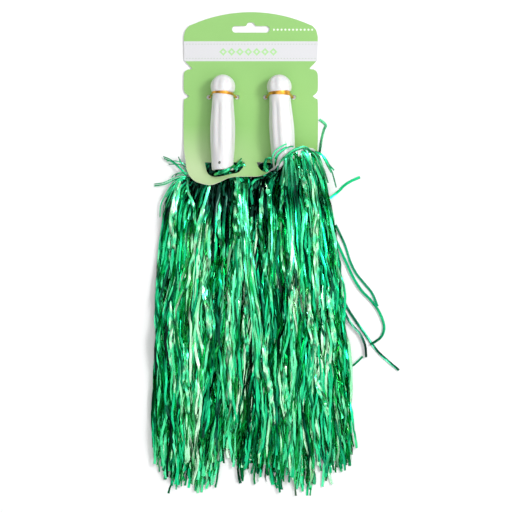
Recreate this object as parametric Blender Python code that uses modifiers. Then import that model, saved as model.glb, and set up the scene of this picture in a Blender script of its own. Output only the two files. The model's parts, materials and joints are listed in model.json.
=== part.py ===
"""A pair of tinsel cheer pom poms tied to a die-cut hanging card.

Metres, +Z up. The card lies on its back with the hang slot towards +Y and its printed side up.
Each pom has a hollow fluted handle with a ball end, tied to the card by its neck. The tinsel is
folded into the handle's mouth, dives through the card's D slot, runs under the card's lower strap
and fans out towards -Y. The origin is on the card's back, midway between the handles.
"""
import math

import bmesh
import bpy
from mathutils import Vector

MM = 0.001
GAP = 0.3 * MM  # between pieces that touch
FLOOR_Z = -1.3 * MM  # what the twisted tie tails and the tinsel lie on

# header card
CARD_HALF_WIDTH = 59.3 * MM
CARD_THICKNESS = 0.45 * MM
CARD_TOP_Y = 55.7 * MM
CARD_SHOULDER = (50.0 * MM, 45.5 * MM)
CARD_LIFT_START_Y = -45.0 * MM
CARD_LIFT_END_Y = -94.0 * MM
CARD_LIFT = 15.0 * MM  # how far the tinsel under it raises the lower strap
CARD_LIFT_POWER = 2.5
CARD_BEND_STEP = 6.0 * MM
REST_CELL = (-12 * MM, 12 * MM, -7 * MM, 11 * MM)  # one clean flat face on the back, low/high X, Y
HANG_SLOT_HALF = (16.6 * MM, 2.9 * MM)
HANG_SLOT_Y = 40.5 * MM
HANG_BUMP_HEIGHT = 3.2 * MM
TIE_HOLE_RADIUS = 2.0 * MM
TIE_HOLE_Y = -19.6 * MM
TIE_HOLE_OFFSET = 12.6 * MM  # each side of a handle

# handles, measured along the axis from the ball's top
HANDLE_LENGTH = 84.6 * MM
BALL_RADIUS = 10.85 * MM
NECK_RADIUS = 9.05 * MM
NECK_START = 15.2 * MM
NECK_END = 18.6 * MM
MOUTH_RADIUS = 9.5 * MM
WALL = 1.6 * MM
BORE_START = 25.0 * MM
FLUTE_COUNT = 8
FLUTE_COLUMNS = 3  # turned columns to each flute: one ridge and two in the hollow
FLUTE_DEPTH = 0.45 * MM
HANDLE_PITCH = math.radians(3.6)  # the mouth is higher than the ball
HANDLE_TOP_Y = -0.2 * MM
BALL_CENTRE_Z = 11.7 * MM
TIE_STATION = 16.9 * MM  # middle of the neck
PIN_STATION = 78.6 * MM
PIN_ANGLE = math.radians(16)
PIN_RADIUS = 0.7 * MM
PIN_HOLE_RADIUS = 1.0 * MM
BINDING_STATION = 71.0 * MM
ROOT_CORE_RADIUS = 5.0 * MM

# twist ties
TIE_WIRE_RADIUS = 0.55 * MM
TIE_TAIL_Z = -0.72 * MM
TIE_TAIL_LENGTH = 9.0 * MM

# tinsel
SECTION_POINTS = 14
SECTION_POWER = 2.6  # a superellipse, flat where it lies on the floor
SKIRT_HINGE_Y = -106.2 * MM
LAYER_Z = 6.2 * MM  # top of the back layer
STRAND_RADIUS = 0.6 * MM

SIDES = {
    # neck X, lean of the handle towards +X, direction away from the card's middle
    "left": (-24.6 * MM, math.radians(-0.2), -1),
    "right": (25.4 * MM, math.radians(3.4), 1),
}


def clear_scene():
    for thing in list(bpy.data.objects):
        bpy.data.objects.remove(thing, do_unlink=True)


def collection(name):
    made = bpy.data.collections.new(name)
    bpy.context.scene.collection.children.link(made)
    return made


def material(name, colour, roughness, metallic=0.0):
    made = bpy.data.materials.new(name)
    made.use_nodes = True
    shader = made.node_tree.nodes["Principled BSDF"]
    shader.inputs["Base Color"].default_value = (*colour, 1.0)
    shader.inputs["Roughness"].default_value = roughness
    shader.inputs["Metallic"].default_value = metallic
    return made


def add(name, mesh, group, finish):
    thing = bpy.data.objects.new(name, mesh)
    group.objects.link(thing)
    if finish:
        mesh.materials.clear()
        mesh.materials.append(finish)
    return thing


def baked(thing):
    """The object's evaluated mesh, with a curve's loose caps welded."""
    graph = bpy.context.evaluated_depsgraph_get()
    mesh = bpy.data.meshes.new_from_object(thing.evaluated_get(graph))
    work = bmesh.new()
    work.from_mesh(mesh)
    bmesh.ops.remove_doubles(work, verts=work.verts, dist=0.01 * MM)
    work.to_mesh(mesh)
    work.free()
    return mesh


def smooth_run(points, steps=4):
    """Points on one smooth curve through the given ones."""
    points = [Vector(p) for p in points]
    ends = [2 * points[0] - points[1], *points, 2 * points[-1] - points[-2]]
    run = []
    for a, b, c, d in zip(ends, ends[1:], ends[2:], ends[3:]):
        for step in range(steps):
            t = step / steps
            run.append(
                0.5 * (2 * b + (c - a) * t + (2 * a - 5 * b + 4 * c - d) * t**2
                       + (3 * b - a - 3 * c + d) * t**3)
            )
    return run + [points[-1]]


def arc(centre, radius, start_deg, end_deg, steps):
    angles = [math.radians(start_deg + (end_deg - start_deg) * i / steps) for i in range(steps + 1)]
    return [Vector((centre[0] + radius * math.cos(a), centre[1] + radius * math.sin(a)))
            for a in angles]


def mirrored(points):
    return [Vector((-p[0], p[1])) for p in reversed(points)]


def millimetres(points):
    return [tuple(value * MM for value in point) for point in points]


# ---------------------------------------------------------------- header card


def card_right_edge():
    """The card's right-hand outline, from the top of its dome to the middle of its lower edge."""
    shoulder_x, shoulder_y = CARD_SHOULDER
    drop = CARD_TOP_Y - shoulder_y
    dome_radius = (shoulder_x**2 + drop**2) / (2 * drop)
    dome_end = math.degrees(math.acos(shoulder_x / dome_radius))
    dome = arc((0, CARD_TOP_Y - dome_radius), dome_radius, 90, dome_end, 6)
    side = CARD_HALF_WIDTH / MM
    corner = smooth_run(millimetres([(54.6, 43.6), (57.8, 39.6), (side, 34.0)]), 2)
    upper_notch = millimetres([(side - 0.4, 13.2), (52.0, 6.0), (52.2, 5.4), (55.4, 5.1)])
    lobe = smooth_run(millimetres([(58.4, 3.2), (side, -1.0), (side, -12.6), (57.8, -16.2)]), 2)
    lower_notch = millimetres([(54.6, -18.6), (57.8, -21.0)])
    lower_side = smooth_run(
        millimetres([(side, -24.6), (side, -60), (57.9, -74), (55.8, -85.9), (50.4, -93.4),
                     (43.0, -96.6), (35.0, -97.7), (27.9, -95.4), (19.3, -91.4), (10.8, -90.2)]), 2
    )
    return [*dome, *corner, *upper_notch, *lobe, *lower_notch, *lower_side]


def hang_slot():
    """A long slot with round ends and a small round-topped bump in its upper side."""
    half, radius = HANG_SLOT_HALF
    middle = HANG_SLOT_Y
    right_end = arc((half - radius, middle), radius, -90, 90, 6)
    top = middle + radius
    bump = [
        Vector((4.6 * MM, top)),
        Vector((3.0 * MM, top + 0.6 * HANG_BUMP_HEIGHT)),
        Vector((1.4 * MM, top + HANG_BUMP_HEIGHT)),
    ]
    right = [*right_end, *bump]
    return [*right, *mirrored(right)]


def d_slot(direction):
    """The slot each pom's tinsel goes through, with a straight top and a curved lower edge."""
    top_y = -77.4
    lower = smooth_run(
        millimetres([(39.2, -84.2), (37.6, -87.8), (34.0, -90.2), (29.0, -90.4), (24.0, -89.6),
                     (17.5, -88.0), (11.0, -86.6), (7.0, -82.4)]), 2
    )
    points = [Vector((40.6 * MM, top_y * MM)), *lower, Vector((5.2 * MM, top_y * MM))]
    return [Vector((direction * p[0], p[1])) for p in points]


def card_z(y):
    """Height of the card's back: flat, then rising over the tinsel."""
    reach = (CARD_LIFT_START_Y - y) / (CARD_LIFT_START_Y - CARD_LIFT_END_Y)
    return CARD_LIFT * max(0.0, reach) ** CARD_LIFT_POWER


def flat_outline(name, loops, group):
    curve = bpy.data.curves.new(name, "CURVE")
    curve.dimensions = "2D"
    curve.fill_mode = "BOTH"
    for loop in loops:
        spline = curve.splines.new("POLY")
        spline.points.add(len(loop) - 1)
        for point, place in zip(spline.points, loop):
            point.co = (place[0], place[1], 0, 1)
        spline.use_cyclic_u = True
    outline = bpy.data.objects.new(name, curve)
    group.objects.link(outline)
    return outline


def cut_along(work, point, normal):
    bmesh.ops.bisect_plane(
        work, geom=[*work.verts, *work.edges, *work.faces], dist=0.001 * MM,
        plane_co=point, plane_no=normal,
    )


def header_card(group, guides, finish):
    right = card_right_edge()
    outline = [*right, *mirrored(right)[:-1]]
    loops = [outline, hang_slot(), d_slot(-1), d_slot(1)]
    for neck_x, _, _ in SIDES.values():
        for offset in (-TIE_HOLE_OFFSET, TIE_HOLE_OFFSET):
            loops.append(arc((neck_x + offset, TIE_HOLE_Y), TIE_HOLE_RADIUS, 0, 330, 11))
    flat = flat_outline("card_outline", loops, guides)
    mesh = baked(flat)
    bpy.data.objects.remove(flat, do_unlink=True)

    work = bmesh.new()
    work.from_mesh(mesh)
    low_x, high_x, low_y, high_y = REST_CELL
    for x in (low_x, high_x):
        cut_along(work, (x, 0, 0), (1, 0, 0))
    for y in (low_y, high_y):
        cut_along(work, (0, y, 0), (0, 1, 0))
    cell = [
        face for face in work.faces
        if low_x < face.calc_center_median().x < high_x
        and low_y < face.calc_center_median().y < high_y
    ]
    bmesh.ops.dissolve_faces(work, faces=cell, use_verts=True)
    y = CARD_LIFT_START_Y
    while y > CARD_LIFT_END_Y - CARD_BEND_STEP:
        cut_along(work, (0, y, 0), (0, 1, 0))
        y -= CARD_BEND_STEP
    for vert in work.verts:
        vert.co.z = card_z(vert.co.y)
    bmesh.ops.recalc_face_normals(work, faces=work.faces)
    if sum(face.normal.z * face.calc_area() for face in work.faces) < 0:
        bmesh.ops.reverse_faces(work, faces=work.faces)
    work.to_mesh(mesh)
    work.free()

    card = add("header_card", mesh, group, finish)
    sheet = card.modifiers.new("thickness", "SOLIDIFY")
    sheet.thickness = CARD_THICKNESS
    sheet.offset = 1.0
    return card


# -------------------------------------------------------------------- handles


def pom_frame(side, group):
    """An empty on the joint's axis, at the neck under the tie; local -Z runs to the mouth."""
    neck_x, lean, _ = SIDES[side]
    run = TIE_STATION - BALL_RADIUS
    empty = bpy.data.objects.new(f"{side}_pom_axis", None)
    empty.location = (
        neck_x,
        HANDLE_TOP_Y - BALL_RADIUS - run * math.cos(HANDLE_PITCH),
        BALL_CENTRE_Z + run * math.sin(HANDLE_PITCH),
    )
    empty.rotation_euler = (-math.pi / 2 - HANDLE_PITCH, 0, lean)
    group.objects.link(empty)
    bpy.context.view_layer.update()
    return empty


def station_z(station):
    """Local height of a station measured from the ball's top."""
    return TIE_STATION - station


def handle_profile():
    """Radius and station down the outside and back up the bore."""
    ball = []
    for i in range(9):
        angle = math.radians(8 + 17.6 * i)
        if BALL_RADIUS * math.sin(angle) < NECK_RADIUS and angle > math.pi / 2:
            break
        ball.append((BALL_RADIUS * math.sin(angle), BALL_RADIUS * (1 - math.cos(angle))))
    body = smooth_run(
        millimetres([(9.3, 19.8), (9.7, 28), (10.75, 42), (10.95, 50), (10.6, 64), (9.85, 77),
                     (9.5, 83.6)]), 1
    )
    outside = [
        (0.0, 0.0), *ball, (NECK_RADIUS, NECK_START), (NECK_RADIUS, NECK_END),
        *[(p[0], p[1]) for p in body], (MOUTH_RADIUS - 0.4 * MM, HANDLE_LENGTH),
    ]
    inside = [(MOUTH_RADIUS - WALL, HANDLE_LENGTH)]
    inside += [(p[0] - WALL, p[1]) for p in reversed(body) if p[1] > BORE_START]
    inside += [(6.0 * MM, BORE_START), (0.0, BORE_START)]
    return outside + inside, len(outside)


def handle(side, frame, group, cutters, finish):
    profile, outer_count = handle_profile()
    mesh = bpy.data.meshes.new(f"{side}_handle_profile")
    points = [(radius, 0, station_z(station)) for radius, station in profile]
    mesh.from_pydata(points, [(i, i + 1) for i in range(len(points) - 1)], [])
    turned = add(f"{side}_handle_turning", mesh, cutters, None)
    screw = turned.modifiers.new("turn", "SCREW")
    screw.steps = screw.render_steps = FLUTE_COLUMNS * FLUTE_COUNT
    screw.use_merge_vertices = True
    screw.merge_threshold = 0.01 * MM
    shape = baked(turned)
    bpy.data.objects.remove(turned, do_unlink=True)

    step = 2 * math.pi / (FLUTE_COLUMNS * FLUTE_COUNT)
    outer_stations = {round(station_z(station), 7) for _, station in profile[2:outer_count - 1]}
    for vert in shape.vertices:
        radius = math.hypot(vert.co.x, vert.co.y)
        column = round(math.atan2(vert.co.y, vert.co.x) / step)
        on_outside = round(vert.co.z, 7) in outer_stations and radius > NECK_RADIUS + 0.1 * MM
        if column % FLUTE_COLUMNS and on_outside:
            vert.co.x *= 1 - FLUTE_DEPTH / radius
            vert.co.y *= 1 - FLUTE_DEPTH / radius
    made = add(f"{side}_handle", shape, group, finish)
    made.parent = frame
    shape.shade_smooth()
    shape.set_sharp_from_angle(angle=math.radians(35))

    bpy.ops.mesh.primitive_cylinder_add(vertices=10, radius=PIN_HOLE_RADIUS, depth=6 * MM)
    drill = bpy.context.object
    drill.name = f"{side}_pin_drill"
    place_pin(drill, frame, MOUTH_RADIUS)
    for home in list(drill.users_collection):
        home.objects.unlink(drill)
    cutters.objects.link(drill)
    drill.hide_render = True
    drill.display_type = "WIRE"
    hole = made.modifiers.new("pin_hole", "BOOLEAN")
    hole.operation = "DIFFERENCE"
    hole.object = drill
    return made


def place_pin(thing, frame, radius):
    """Lay a cylinder along the handle's radius at the pin's station, on the card's far side."""
    thing.parent = frame
    outward = Vector((-math.sin(PIN_ANGLE), -math.cos(PIN_ANGLE), 0))
    thing.location = outward * radius + Vector((0, 0, station_z(PIN_STATION)))
    thing.rotation_euler = outward.to_track_quat("Z", "Y").to_euler()


def retaining_pin(side, frame, group, finish):
    bpy.ops.mesh.primitive_cylinder_add(vertices=12, radius=PIN_RADIUS, depth=3.4 * MM)
    pin = bpy.context.object
    pin.name = f"{side}_retaining_pin"
    for home in list(pin.users_collection):
        home.objects.unlink(pin)
    group.objects.link(pin)
    pin.data.materials.append(finish)
    place_pin(pin, frame, 7.3 * MM)
    return pin


def root_binding(side, frame, group, finish):
    inner = ROOT_CORE_RADIUS + GAP
    outer = inner + 1.3 * MM
    half = 1.6 * MM
    mesh = bpy.data.meshes.new(f"{side}_root_binding")
    corners = [(outer, half), (outer, -half), (inner, -half), (inner, half)]
    points = [(radius, 0, station_z(BINDING_STATION) + height) for radius, height in corners]
    mesh.from_pydata(points, [(0, 1), (1, 2), (2, 3), (3, 0)], [])
    ring = add(f"{side}_root_binding", mesh, group, finish)
    screw = ring.modifiers.new("turn", "SCREW")
    screw.steps = screw.render_steps = 20
    screw.use_merge_vertices = True
    screw.merge_threshold = 0.01 * MM
    ring.parent = frame
    return ring


# ------------------------------------------------------------------ twist tie


def tube(name, points, radius, group, finish):
    curve = bpy.data.curves.new(name, "CURVE")
    curve.dimensions = "3D"
    curve.bevel_depth = radius
    curve.bevel_resolution = 1
    curve.use_fill_caps = True
    spline = curve.splines.new("POLY")
    spline.points.add(len(points) - 1)
    for point, place in zip(spline.points, points):
        point.co = (*place, 1)
    guide = bpy.data.objects.new(f"{name}_path", curve)
    group.objects.link(guide)
    mesh = baked(guide)
    bpy.data.objects.remove(guide, do_unlink=True)
    return add(name, mesh, group, finish)


def twist_tie(side, frame, group, finish):
    """Over the neck, down through two holes and back under the card, its ends side by side."""
    middle_x = SIDES[side][0]
    neck = frame.matrix_world.translation
    loop_radius = NECK_RADIUS + TIE_WIRE_RADIUS + GAP
    over = []
    for degrees in range(-24, 205, 12):
        angle = math.radians(degrees)
        over.append(Vector((neck.x + loop_radius * math.cos(angle), neck.y,
                            neck.z + loop_radius * math.sin(angle))))
    tail_y = TIE_HOLE_Y - TIE_TAIL_LENGTH
    right_x = middle_x + TIE_HOLE_OFFSET
    left_x = middle_x - TIE_HOLE_OFFSET
    down = [(right_x, TIE_HOLE_Y, 3.5 * MM), (right_x, TIE_HOLE_Y, 0.3 * MM)]
    under = [
        (right_x - 1.0 * MM, TIE_HOLE_Y, TIE_TAIL_Z),
        (middle_x + 2.2 * MM, TIE_HOLE_Y, TIE_TAIL_Z),
        (middle_x + 0.9 * MM, TIE_HOLE_Y - 1.4 * MM, TIE_TAIL_Z),
        (middle_x + 0.9 * MM, tail_y, TIE_TAIL_Z),
    ]
    right_side = [Vector(p) for p in [*down, *under]]
    left_side = [Vector((2 * middle_x - p.x, p.y, p.z)) for p in right_side]
    points = [*reversed(right_side), *over, *left_side]
    return tube(f"{side}_twist_tie", points, TIE_WIRE_RADIUS, group, finish)


# --------------------------------------------------------------------- tinsel


def loft(name, rings, group, finish):
    """A closed solid through rings of equal point count."""
    work = bmesh.new()
    rows = [[work.verts.new(point) for point in ring] for ring in rings]
    count = len(rings[0])
    for lower, upper in zip(rows, rows[1:]):
        for i in range(count):
            j = (i + 1) % count
            work.faces.new((lower[i], lower[j], upper[j], upper[i]))
    work.faces.new(list(reversed(rows[0])))
    work.faces.new(rows[-1])
    bmesh.ops.recalc_face_normals(work, faces=work.faces)
    if work.calc_volume(signed=True) < 0:
        bmesh.ops.reverse_faces(work, faces=work.faces)
    mesh = bpy.data.meshes.new(name)
    work.to_mesh(mesh)
    work.free()
    thing = add(name, mesh, group, finish)
    mesh.shade_smooth()
    return thing


def section(centre, across, half_width, up, half_height, power=SECTION_POWER):
    """A superellipse about a centre, in the plane of two directions."""
    ring = []
    for i in range(SECTION_POINTS):
        angle = 2 * math.pi * i / SECTION_POINTS
        c, s = math.cos(angle), math.sin(angle)
        u = math.copysign(abs(c) ** (2 / power), c) * half_width
        v = math.copysign(abs(s) ** (2 / power), s) * half_height
        ring.append(Vector(centre) + Vector(across) * u + Vector(up) * v)
    return ring


def tuft(name, stations, group, finish):
    """A flattened bundle along -Y; each station is Y, low X, high X, low Z, high Z in mm."""
    rings = []
    for y, low_x, high_x, low_z, high_z in stations:
        centre = ((low_x + high_x) / 2 * MM, y * MM, (low_z + high_z) / 2 * MM)
        half = ((high_x - low_x) / 2 * MM, (high_z - low_z) / 2 * MM)
        rings.append(section(centre, (1, 0, 0), half[0], (0, 0, 1), half[1]))
    return loft(name, rings, group, finish)


def tinsel_root(side, frame, group, finish):
    """From inside the mouth, down through the D slot, and flat under the card's strap."""
    direction = SIDES[side][2]
    core = frame.matrix_world
    across, up, along = (core.to_3x3().col[i] for i in range(3))
    rings = []
    for station, radius in ((64.0, 3.6), (66.0, ROOT_CORE_RADIUS / MM), (76.0, ROOT_CORE_RADIUS / MM)):
        centre = core @ Vector((0, 0, station_z(station * MM)))
        rings.append(section(centre, across, radius * MM, -up, radius * MM, 2))
    mouth = core @ Vector((0, 0, station_z(HANDLE_LENGTH)))
    dive = [
        # beyond the mouth's Y, centre offset in X, half width, low Z, high Z
        (2.0, 0.0, 5.8, 10.0, 19.4),
        (-0.5, 0.0, 5.8, 9.8, 18.0),
        (-1.7, 0.0, 6.0, 6.9, 15.4),
        (-2.9, 0.2, 6.6, 2.6, 11.4),
        (-4.6, 0.9, 9.0, -0.8, 9.7),
        (-8.0, 2.6, 15.0, FLOOR_Z / MM, 10.4),
        (-13.0, 5.4, 21.6, FLOOR_Z / MM, 12.4),
        (-21.0, 7.6, 28.6, FLOOR_Z / MM, 14.8),
    ]
    for beyond, shift, half_width, low_z, high_z in dive:
        centre_x = direction * (abs(mouth.x) / MM + shift)
        centre = (centre_x * MM, mouth.y + beyond * MM, (low_z + high_z) / 2 * MM)
        rings.append(section(centre, (1, 0, 0), half_width * MM, (0, 0, 1),
                             (high_z - low_z) / 2 * MM, 2.2))
    return loft(f"{side}_tinsel_root", rings, group, finish)


def edge_at(edges, y):
    """An edge's X at one Y, read between the given (Y, X) pairs."""
    for (y0, x0), (y1, x1) in zip(edges, edges[1:]):
        if y1 <= y <= y0:
            return x0 + (x1 - x0) * (y - y0) / (y1 - y0)
    return edges[-1][1]


SKIRT_EDGES = {
    # (Y, X) down the skirt's inner and outer edges, mm
    "left": (
        [(-106, -4), (-150, -5), (-200, -8), (-260, -14), (-320, -23), (-350, -28), (-366, -34)],
        [(-106, -64), (-150, -66), (-200, -67.5), (-260, -69), (-320, -70), (-350, -68), (-366, -58)],
    ),
    "right": (
        [(-106, 5), (-150, 5), (-200, 3.5), (-260, 0.5), (-320, -5), (-350, -8), (-366, -2)],
        [(-106, 65), (-150, 68), (-200, 70), (-260, 71.5), (-320, 73), (-350, 72), (-366, 60)],
    ),
}
LOCK_STATIONS = {
    # Y, nearest and farthest distance from X = 0, top Z, mm
    "left": [(-113, 66.5, 79, 6), (-124, 67.5, 85, 9), (-150, 69, 88.6, 10), (-200, 70, 90, 10),
             (-260, 70.8, 89, 9), (-315, 71.5, 86, 7), (-334, 74, 83, 3)],
    "right": [(-113, 67, 76, 7), (-124, 69, 79.5, 9.6), (-150, 71, 82, 11), (-200, 72.5, 84, 11),
              (-260, 74, 86.5, 10), (-320, 75, 90, 8), (-352, 77.5, 91, 3)],
}


def skirt(side, parent, group, finish):
    """A back layer on the floor, with a front tuft and an inner tuft side by side on it."""
    inner, outer = SKIRT_EDGES[side]
    floor = FLOOR_Z / MM
    layer = LAYER_Z / MM
    gap = GAP / MM
    ys = [-106.6, -112, -130, -165, -205, -250, -300, -340]
    back = []
    for y in [*ys, -362, -368]:
        spare = {-362: 7, -368: 14}.get(y, 0)
        edges = sorted((edge_at(inner, y), edge_at(outer, y)))
        top = layer - {-362: 3, -368: 5.4}.get(y, 0)
        back.append((y, edges[0] + spare, edges[1] - spare, floor, top))
    pieces = [tuft(f"{side}_skirt_back", back, group, finish)]
    split = {"skirt_front": (0.53, 0.95), "skirt_inner": (0.05, 0.51)}
    for part, (near, far) in split.items():
        stations = []
        for y in [*ys, -354]:
            start, width = edge_at(inner, y), edge_at(outer, y) - edge_at(inner, y)
            edges = sorted((start + near * width, start + far * width))
            top = {-106.6: 14.6, -112: 15.6, -340: 12, -354: 9}.get(y, 17.2)
            stations.append((y, edges[0], edges[1], layer + gap, top))
        pieces.append(tuft(f"{side}_{part}", stations, group, finish))
    hinge = Vector((0, SKIRT_HINGE_Y, 15.5 * MM))
    for piece in pieces:
        hold(piece, parent, hinge)


def outer_lock(side, parent, group, finish):
    direction = SIDES[side][2]
    stations = []
    for y, near, far, top in LOCK_STATIONS[side]:
        low, high = sorted((direction * near, direction * far))
        stations.append((y, low, high, FLOOR_Z / MM, top))
    piece = tuft(f"{side}_outer_lock", stations, group, finish)
    hold(piece, parent, Vector((direction * 73 * MM, -110 * MM, 0)))


def shoulder_tuft(side, parent, group, finish):
    """The tinsel that fans out beside the card's lower corner."""
    rows = {
        "left": [(-74, -79, -71, 3), (-78, -85, -67, 5), (-86, -87, -62.5, 7), (-96, -84, -60, 9),
                 (-104, -82, -63, 9.5)],
        "right": [(-66, 61, 66, 3), (-72, 61.2, 70, 6), (-82, 61.5, 72, 9), (-94, 61.8, 74, 11),
                  (-104, 64.4, 76, 12)],
    }[side]
    stations = [(y, low, high, FLOOR_Z / MM, top) for y, low, high, top in rows]
    piece = tuft(f"{side}_shoulder_tuft", stations, group, finish)
    hold(piece, parent, None)


def hold(piece, parent, origin):
    """Give a piece its origin on its joint's axis, and its parent, leaving it where it is."""
    if origin is not None:
        for vert in piece.data.vertices:
            vert.co -= origin
        piece.location = origin
    bpy.context.view_layer.update()
    piece.parent = parent
    piece.matrix_parent_inverse = parent.matrix_world.inverted()


STRAYS = {
    # loose single strands on the right: the body each one leaves, and its route in X and Y, mm
    "right_stray_upper_curl": ("pom", [(64.0, -63.6), (65.2, -60), (66.2, -56), (66.8, -50),
                                       (64.6, -44.6), (62.6, -41.4)]),
    "right_stray_shoulder": ("pom", [(77.4, -103), (80, -100.4), (83, -97.4), (89, -93.6), (96.7, -90.2)]),
    "right_stray_long": ("lock", [(84.9, -205), (92, -216.4), (99, -226), (106, -236), (113, -245),
                                  (122, -253.4), (131.2, -261)]),
    "right_stray_hook": ("lock", [(83.4, -163.6), (90, -178), (97.6, -190.2), (106, -199), (113.6, -209.6),
                                  (117.9, -222), (115.7, -231), (109, -236.4), (105.5, -238)]),
    "right_stray_side": ("lock", [(83, -149.6), (88, -165), (93.6, -176), (100.6, -184.6), (107.3, -193),
                                  (112.2, -204.4)]),
    "right_stray_short": ("lock", [(85.2, -214.4), (90.4, -222), (96.6, -229), (101, -238.9),
                                   (102, -249.6)]),
    "right_stray_low": ("lock", [(86.8, -256.6), (90.2, -257), (96, -252), (99, -248.8)]),
}
STRAY_HEIGHTS = {"right_stray_hook": 1.4, "right_stray_long": 0.0, "right_stray_short": 2.8}


def stray(name, route, height, parent, group, finish):
    level = FLOOR_Z + STRAND_RADIUS + height * MM
    points = smooth_run([(x * MM, y * MM, level) for x, y in route], 2)
    piece = tube(name, points, STRAND_RADIUS, group, finish)
    hold(piece, parent, None)


# ------------------------------------------------------------------- assembly


def pivot(name, place, parent, group):
    empty = bpy.data.objects.new(name, None)
    group.objects.link(empty)
    empty.location = place
    bpy.context.view_layer.update()
    empty.parent = parent
    empty.matrix_parent_inverse = parent.matrix_world.inverted()
    bpy.context.view_layer.update()
    return empty


def build():
    clear_scene()
    group = collection("cheer_pom_poms_on_card")
    cutters = collection("cutters")
    card_paper = material("card_paper", (0.50, 0.83, 0.37), 0.6)
    white_plastic = material("white_plastic", (0.90, 0.90, 0.91), 0.3)
    gold_foil = material("gold_foil", (0.85, 0.50, 0.12), 0.3, 1.0)
    pin_steel = material("pin_steel", (0.30, 0.31, 0.30), 0.4, 1.0)
    band = material("binding_band", (0.82, 0.82, 0.80), 0.6)
    tinsel = material("green_tinsel", (0.01, 0.42, 0.17), 0.22, 0.9)

    header_card(group, cutters, card_paper)
    for side, (_, _, direction) in SIDES.items():
        frame = pom_frame(side, group)
        handle(side, frame, group, cutters, white_plastic)
        retaining_pin(side, frame, group, pin_steel)
        root_binding(side, frame, group, band)
        twist_tie(side, frame, group, gold_foil)
        hold(tinsel_root(side, frame, group, tinsel), frame, None)
        shoulder_tuft(side, frame, group, tinsel)
        hinge = pivot(f"{side}_skirt_axis", (0, SKIRT_HINGE_Y, 15.5 * MM), frame, group)
        skirt(side, hinge, group, tinsel)
        lock_pivot = pivot(f"{side}_lock_axis", (direction * 73 * MM, -110 * MM, 0), frame, group)
        outer_lock(side, lock_pivot, group, tinsel)
        if side == "right":
            parents = {"pom": frame, "lock": lock_pivot}
            for name, (body, route) in STRAYS.items():
                stray(name, route, STRAY_HEIGHTS.get(name, 0.6), parents[body], group, tinsel)


build()
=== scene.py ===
"""Looks for a pair of tinsel cheer pom poms tied to a die-cut hanging card.

Metres, in the CAD model's frame: the card lies on its back with the hang slot towards +Y, and
the tinsel runs towards -Y. Short lists of places are in millimetres and go through mm().
"""
import json
import math

import bmesh
import bpy
import numpy as np
from mathutils import Matrix, Vector


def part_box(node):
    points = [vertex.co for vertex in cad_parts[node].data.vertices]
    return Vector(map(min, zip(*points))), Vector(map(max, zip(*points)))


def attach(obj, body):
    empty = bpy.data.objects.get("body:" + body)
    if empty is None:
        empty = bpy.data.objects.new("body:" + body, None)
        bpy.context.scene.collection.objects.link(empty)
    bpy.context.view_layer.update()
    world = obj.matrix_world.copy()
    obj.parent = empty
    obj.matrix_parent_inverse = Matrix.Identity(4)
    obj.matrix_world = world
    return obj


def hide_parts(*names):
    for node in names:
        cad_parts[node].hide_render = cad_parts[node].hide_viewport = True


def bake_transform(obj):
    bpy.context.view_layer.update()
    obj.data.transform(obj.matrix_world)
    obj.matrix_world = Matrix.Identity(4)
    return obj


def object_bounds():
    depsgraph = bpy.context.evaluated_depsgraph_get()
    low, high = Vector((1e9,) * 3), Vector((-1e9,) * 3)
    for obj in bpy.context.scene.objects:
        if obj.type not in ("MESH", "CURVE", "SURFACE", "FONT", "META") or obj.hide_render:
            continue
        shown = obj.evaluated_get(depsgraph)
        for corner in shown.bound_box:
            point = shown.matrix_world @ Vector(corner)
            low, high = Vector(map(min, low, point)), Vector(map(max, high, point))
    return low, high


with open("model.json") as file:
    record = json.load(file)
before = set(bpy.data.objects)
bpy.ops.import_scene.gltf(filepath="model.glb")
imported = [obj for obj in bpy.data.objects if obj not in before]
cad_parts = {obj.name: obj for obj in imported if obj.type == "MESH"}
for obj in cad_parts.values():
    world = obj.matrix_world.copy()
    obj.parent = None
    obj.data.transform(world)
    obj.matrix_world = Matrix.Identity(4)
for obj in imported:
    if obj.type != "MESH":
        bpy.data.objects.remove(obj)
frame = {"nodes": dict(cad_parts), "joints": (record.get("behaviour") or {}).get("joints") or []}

CAD_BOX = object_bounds()
FLOOR = CAD_BOX[0].z
JOINTS = {joint["name"]: joint for joint in frame["joints"]}
SIDES = {"left": -1, "right": 1}

MM = 0.001
GROUND = FLOOR / MM  # the same height in mm
CARD_THICKNESS = 0.45 * MM
STRAND_WIDTH = 2.2 * MM
STRAND_CROWN = 0.12 * MM  # half the thickness of a creased strand at its middle

# the handle, along its axis from the ball's top
HANDLE_LENGTH = 84.6 * MM
TIE_STATION = 16.9 * MM
BALL_RADIUS = 10.85 * MM
NECK_RADIUS = 9.05 * MM
NECK_START = 15.2 * MM
PIN_STATION = 78.6 * MM
PIN_ANGLE = math.radians(16)
WALL = 1.6 * MM
FLUTES = 8
FLUTE_DEPTH = 0.85 * MM


def mm(points):
    return np.array(points, float) * MM


# ---- materials


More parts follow.
